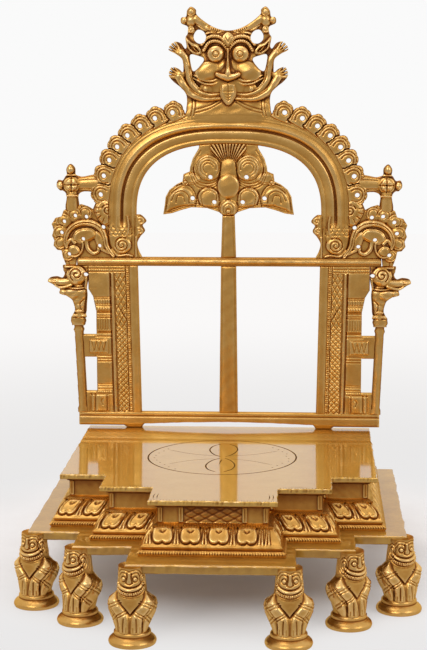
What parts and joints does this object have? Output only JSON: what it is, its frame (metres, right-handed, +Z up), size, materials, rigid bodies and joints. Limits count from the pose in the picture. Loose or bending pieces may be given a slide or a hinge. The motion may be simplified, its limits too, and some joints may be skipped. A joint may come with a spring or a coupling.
{
  "type": "deity throne",
  "caption": "Stepped brass throne on squatting-lion legs, with a lift-out openwork back under an arch, for a small deity image.",
  "frame": {"origin": "on the floor, under the middle of the feet", "axes": "+Z up, -Y towards the front, +X to the right as seen from the front"},
  "size_m": [0.2888, 0.2954, 0.4245],
  "materials": {
    "cast_brass": "cast and chased",
    "polished_brass": "brushed and polished"
  },
  "bodies": {
    "base": {"lower_plate": "polished_brass", "lotus_plinth": "cast_brass", "seat_slab": "polished_brass", "leg_front_left": "cast_brass", "leg_front_right": "cast_brass", "leg_middle_left": "cast_brass", "leg_middle_right": "cast_brass", "leg_side_left": "cast_brass", "leg_side_right": "cast_brass", "leg_back_left": "cast_brass", "leg_back_right": "cast_brass"},
    "back": {"sill": "cast_brass", "transom": "cast_brass", "mullion_lower": "cast_brass", "mullion_upper": "cast_brass", "jamb_left": "cast_brass", "jamb_right": "cast_brass", "panel_left": "cast_brass", "panel_right": "cast_brass", "column_left": "cast_brass", "column_right": "cast_brass", "yali_left": "cast_brass", "yali_right": "cast_brass", "bracket_left": "cast_brass", "bracket_right": "cast_brass", "makara_left": "cast_brass", "makara_right": "cast_brass", "finial_left": "cast_brass", "finial_right": "cast_brass", "crest_left": "cast_brass", "crest_right": "cast_brass", "arch": "cast_brass", "canopy": "cast_brass", "lion_mask": "cast_brass"}
  },
  "joints": [
    {"name": "back_lift", "type": "slide", "parent": "base", "child": "back", "axis": [0, 0, 1], "range_m": [0, 0.015]}
  ]
}
